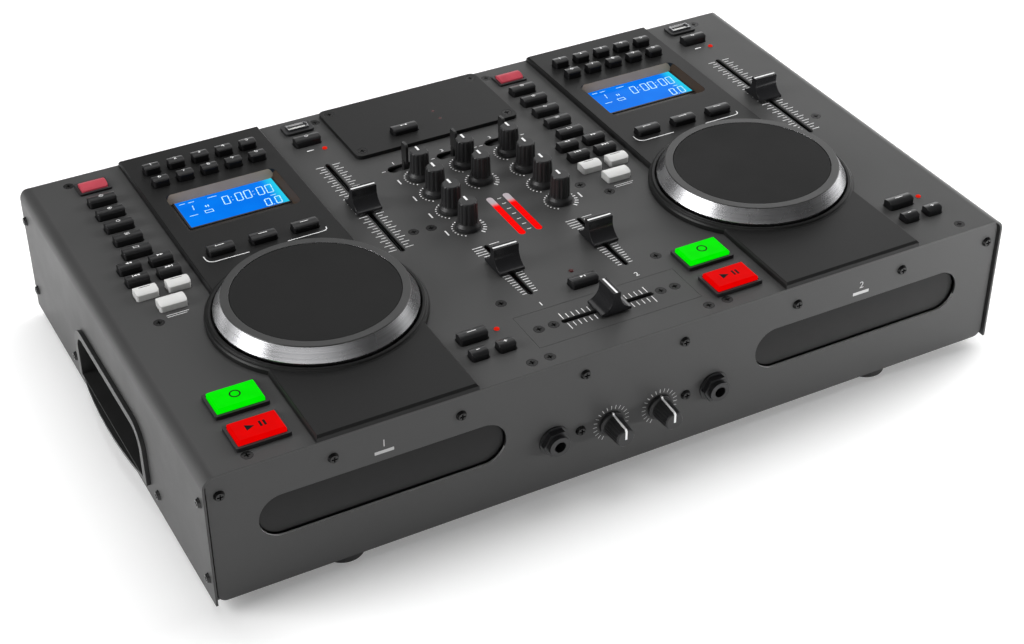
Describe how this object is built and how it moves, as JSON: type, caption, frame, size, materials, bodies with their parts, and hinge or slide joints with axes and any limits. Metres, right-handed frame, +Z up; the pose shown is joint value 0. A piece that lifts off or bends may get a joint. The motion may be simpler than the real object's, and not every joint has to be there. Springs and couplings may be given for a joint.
{
  "type": "tabletop dj disc player",
  "caption": "Twin-deck disc player and mixer console with sliding drawers, turning jog wheels, faders, knobs and keys in a folded steel case.",
  "frame": {"origin": "on the table below the middle of the body, halfway between its sides and between the edges of its cover", "axes": "+X to the operator's right, +Y from the front panel to the rear panel, +Z up"},
  "size_m": [0.4908, 0.3205, 0.1048],
  "materials": {
    "graphite_paint": "fine textured satin",
    "chassis_paint": "fine textured satin",
    "charcoal_plastic": "satin",
    "black_plastic": "semi-gloss",
    "frame_plastic": "satin",
    "rubber_black": "matte",
    "jog_metal": "brushed",
    "jog_rubber": "matte",
    "display_blue": "backlit",
    "lamp_red": "translucent",
    "screw_black": "blackened steel",
    "socket_metal": "plated",
    "jack_black": "semi-gloss",
    "board_green": "solder mask",
    "loader_plastic": "moulded",
    "gear_plastic": "moulded",
    "hub_metal": "turned",
    "knob_plastic": "satin",
    "lever_metal": "blackened steel",
    "rocker_plastic": "semi-gloss",
    "cue_green": "translucent, lit",
    "play_red": "translucent, lit",
    "eject_red": "translucent",
    "white_print": "screen print"
  },
  "bodies": {
    "console": {"top_cover": "graphite_paint", "chassis_pan": "chassis_paint", "front_panel": "graphite_paint", "deck_plate_a": "charcoal_plastic", "deck_plate_b": "charcoal_plastic", "lcd_windows": "display_blue", "mixer_plates": "charcoal_plastic", "mains_inlet": "jack_black", "indicator_lamps": "lamp_red", "feet": "rubber_black", "panel_screws": "screw_black", "side_handles": "frame_plastic", "usb_sockets": "socket_metal", "front_jacks": "jack_black", "rear_sockets": "socket_metal", "circuit_boards": "board_green", "disc_loaders": "loader_plastic", "key_frames": "frame_plastic"},
    "jog_a": {"jog_wheel_a": "jog_metal", "jog_pad_a": "jog_rubber"},
    "drawer_a": {"disc_tray_a": "loader_plastic"},
    "drive_gear_a": {"tray_gear_a": "gear_plastic"},
    "spindle_a": {"disc_hub_a": "hub_metal"},
    "pitch_slider_a": {"pitch_fader_a": "black_plastic"},
    "channel_slider_a": {"channel_fader_a": "black_plastic"},
    "level_control_a": {"level_knob_a": "knob_plastic"},
    "high_control_a": {"high_knob_a": "knob_plastic"},
    "mid_control_a": {"mid_knob_a": "knob_plastic"},
    "low_control_a": {"low_knob_a": "knob_plastic"},
    "cue_cap_a": {"cue_button_a": "cue_green"},
    "play_cap_a": {"play_button_a": "play_red"},
    "eject_cap_a": {"eject_key_a": "eject_red"},
    "number_key_group_a": {"number_keys_a": "black_plastic"},
    "deck_key_group_a": {"deck_keys_a": "black_plastic"},
    "jog_b": {"jog_wheel_b": "jog_metal", "jog_pad_b": "jog_rubber"},
    "drawer_b": {"disc_tray_b": "loader_plastic"},
    "drive_gear_b": {"tray_gear_b": "gear_plastic"},
    "spindle_b": {"disc_hub_b": "hub_metal"},
    "pitch_slider_b": {"pitch_fader_b": "black_plastic"},
    "channel_slider_b": {"channel_fader_b": "black_plastic"},
    "level_control_b": {"level_knob_b": "knob_plastic"},
    "high_control_b": {"high_knob_b": "knob_plastic"},
    "mid_control_b": {"mid_knob_b": "knob_plastic"},
    "low_control_b": {"low_knob_b": "knob_plastic"},
    "cue_cap_b": {"cue_button_b": "cue_green"},
    "play_cap_b": {"play_button_b": "play_red"},
    "eject_cap_b": {"eject_key_b": "eject_red"},
    "number_key_group_b": {"number_keys_b": "black_plastic"},
    "deck_key_group_b": {"deck_keys_b": "black_plastic"},
    "cross_slider": {"crossfader": "black_plastic"},
    "source_lever_a": {"selector_a": "lever_metal"},
    "source_lever_cue": {"selector_cue": "lever_metal"},
    "source_lever_b": {"selector_b": "lever_metal"},
    "master_control": {"master_knob": "knob_plastic"},
    "cue_mix_control": {"cue_mix_knob": "knob_plastic"},
    "mic_control": {"mic_knob": "knob_plastic"},
    "phones_control": {"phones_knob": "knob_plastic"},
    "rocker": {"power_rocker": "rocker_plastic"},
    "mixer_key_group": {"mixer_keys": "black_plastic"}
  },
  "joints": [
    {"name": "jog_a_turn", "type": "hinge", "parent": "console", "child": "jog_a", "pos_m": [-0.1365, -0.047, 0.087], "axis": [0, 0, 1], "continuous": true},
    {"name": "drawer_a_slide", "type": "slide", "parent": "console", "child": "drawer_a", "axis": [0, -1, 0], "range_m": [0, 0.132]},
    {"name": "drive_gear_a_turn", "type": "hinge", "parent": "console", "child": "drive_gear_a", "pos_m": [-0.1918, -0.1304, 0.043], "axis": [0, 0, 1], "range_deg": [0, 946]},
    {"name": "spindle_a_spin", "type": "hinge", "parent": "console", "child": "spindle_a", "pos_m": [-0.1448, -0.076, 0.045], "axis": [0, 0, 1], "continuous": true},
    {"name": "pitch_a_slide", "type": "slide", "parent": "console", "child": "pitch_slider_a", "axis": [0, 1, 0], "range_m": [-0.05, 0.05]},
    {"name": "channel_a_slide", "type": "slide", "parent": "console", "child": "channel_slider_a", "axis": [0, 1, 0], "range_m": [-0.0265, 0.0185]},
    {"name": "level_a_turn", "type": "hinge", "parent": "console", "child": "level_control_a", "pos_m": [-0.0295, 0.0498, 0.087], "axis": [0, 0, 1], "range_deg": [-150, 150]},
    {"name": "high_a_turn", "type": "hinge", "parent": "console", "child": "high_control_a", "pos_m": [-0.0295, 0.0292, 0.087], "axis": [0, 0, 1], "range_deg": [-150, 150]},
    {"name": "mid_a_turn", "type": "hinge", "parent": "console", "child": "mid_control_a", "pos_m": [-0.0295, 0.0086, 0.087], "axis": [0, 0, 1], "range_deg": [-150, 150]},
    {"name": "low_a_turn", "type": "hinge", "parent": "console", "child": "low_control_a", "pos_m": [-0.0295, -0.012, 0.087], "axis": [0, 0, 1], "range_deg": [-150, 150]},
    {"name": "cue_a_press", "type": "slide", "parent": "console", "child": "cue_cap_a", "axis": [0, 0, -1], "range_m": [0, 0.0012], "stiffness_N_per_m": 250, "springref_m": -0.002},
    {"name": "play_a_press", "type": "slide", "parent": "console", "child": "play_cap_a", "axis": [0, 0, -1], "range_m": [0, 0.0012], "stiffness_N_per_m": 250, "springref_m": -0.002},
    {"name": "eject_a_press", "type": "slide", "parent": "console", "child": "eject_cap_a", "axis": [0, 0, -1], "range_m": [0, 0.001], "stiffness_N_per_m": 200, "springref_m": -0.002},
    {"name": "numbers_a_press", "type": "slide", "parent": "console", "child": "number_key_group_a", "axis": [0, 0, -1], "range_m": [0, 0.0008], "stiffness_N_per_m": 400, "springref_m": -0.002},
    {"name": "keys_a_press", "type": "slide", "parent": "console", "child": "deck_key_group_a", "axis": [0, 0, -1], "range_m": [0, 0.0008], "stiffness_N_per_m": 600, "springref_m": -0.002},
    {"name": "jog_b_turn", "type": "hinge", "parent": "console", "child": "jog_b", "pos_m": [0.1365, -0.047, 0.087], "axis": [0, 0, 1], "continuous": true},
    {"name": "drawer_b_slide", "type": "slide", "parent": "console", "child": "drawer_b", "axis": [0, -1, 0], "range_m": [0, 0.132]},
    {"name": "drive_gear_b_turn", "type": "hinge", "parent": "console", "child": "drive_gear_b", "pos_m": [0.0978, -0.1304, 0.043], "axis": [0, 0, 1], "range_deg": [0, 946]},
    {"name": "spindle_b_spin", "type": "hinge", "parent": "console", "child": "spindle_b", "pos_m": [0.1448, -0.076, 0.045], "axis": [0, 0, 1], "continuous": true},
    {"name": "pitch_b_slide", "type": "slide", "parent": "console", "child": "pitch_slider_b", "axis": [0, 1, 0], "range_m": [-0.05, 0.05]},
    {"name": "channel_b_slide", "type": "slide", "parent": "console", "child": "channel_slider_b", "axis": [0, 1, 0], "range_m": [-0.0265, 0.0185]},
    {"name": "level_b_turn", "type": "hinge", "parent": "console", "child": "level_control_b", "pos_m": [0.0295, 0.0498, 0.087], "axis": [0, 0, 1], "range_deg": [-150, 150]},
    {"name": "high_b_turn", "type": "hinge", "parent": "console", "child": "high_control_b", "pos_m": [0.0295, 0.0292, 0.087], "axis": [0, 0, 1], "range_deg": [-150, 150]},
    {"name": "mid_b_turn", "type": "hinge", "parent": "console", "child": "mid_control_b", "pos_m": [0.0295, 0.0086, 0.087], "axis": [0, 0, 1], "range_deg": [-150, 150]},
    {"name": "low_b_turn", "type": "hinge", "parent": "console", "child": "low_control_b", "pos_m": [0.0295, -0.012, 0.087], "axis": [0, 0, 1], "range_deg": [-150, 150]},
    {"name": "cue_b_press", "type": "slide", "parent": "console", "child": "cue_cap_b", "axis": [0, 0, -1], "range_m": [0, 0.0012], "stiffness_N_per_m": 250, "springref_m": -0.002},
    {"name": "play_b_press", "type": "slide", "parent": "console", "child": "play_cap_b", "axis": [0, 0, -1], "range_m": [0, 0.0012], "stiffness_N_per_m": 250, "springref_m": -0.002},
    {"name": "eject_b_press", "type": "slide", "parent": "console", "child": "eject_cap_b", "axis": [0, 0, -1], "range_m": [0, 0.001], "stiffness_N_per_m": 200, "springref_m": -0.002},
    {"name": "numbers_b_press", "type": "slide", "parent": "console", "child": "number_key_group_b", "axis": [0, 0, -1], "range_m": [0, 0.0008], "stiffness_N_per_m": 400, "springref_m": -0.002},
    {"name": "keys_b_press", "type": "slide", "parent": "console", "child": "deck_key_group_b", "axis": [0, 0, -1], "range_m": [0, 0.0008], "stiffness_N_per_m": 600, "springref_m": -0.002},
    {"name": "crossfader_slide", "type": "slide", "parent": "console", "child": "cross_slider", "axis": [1, 0, 0], "range_m": [-0.0235, 0.0215]},
    {"name": "selector_a_tilt", "type": "hinge", "parent": "console", "child": "source_lever_a", "pos_m": [-0.032, 0.0642, 0.067], "axis": [0, 1, 0], "range_deg": [-18, 18]},
    {"name": "selector_cue_tilt", "type": "hinge", "parent": "console", "child": "source_lever_cue", "pos_m": [0, 0.0642, 0.067], "axis": [0, 1, 0], "range_deg": [-18, 18]},
    {"name": "selector_b_tilt", "type": "hinge", "parent": "console", "child": "source_lever_b", "pos_m": [0.032, 0.0642, 0.067], "axis": [0, 1, 0], "range_deg": [-18, 18]},
    {"name": "master_turn", "type": "hinge", "parent": "console", "child": "master_control", "pos_m": [0, 0.0498, 0.087], "axis": [0, 0, 1], "range_deg": [-150, 150]},
    {"name": "cue_mix_turn", "type": "hinge", "parent": "console", "child": "cue_mix_control", "pos_m": [0, 0.0292, 0.087], "axis": [0, 0, 1], "range_deg": [-150, 150]},
    {"name": "mic_turn", "type": "hinge", "parent": "console", "child": "mic_control", "pos_m": [-0.0138, -0.1462, 0.0353], "axis": [0, -1, 0], "range_deg": [-135, 135]},
    {"name": "phones_turn", "type": "hinge", "parent": "console", "child": "phones_control", "pos_m": [0.0162, -0.1462, 0.0353], "axis": [0, -1, 0], "range_deg": [-135, 135]},
    {"name": "power_tilt", "type": "hinge", "parent": "console", "child": "rocker", "pos_m": [0.152, 0.1465, 0.052], "axis": [1, 0, 0], "range_deg": [-18, 0]},
    {"name": "mixer_keys_press", "type": "slide", "parent": "console", "child": "mixer_key_group", "axis": [0, 0, -1], "range_m": [0, 0.0008], "stiffness_N_per_m": 200, "springref_m": -0.002}
  ],
  "couplings": [
    {"joint": "drive_gear_a_turn", "follows": "drawer_a_slide", "rad_per_m": 125},
    {"joint": "drive_gear_b_turn", "follows": "drawer_b_slide", "rad_per_m": 125}
  ]
}
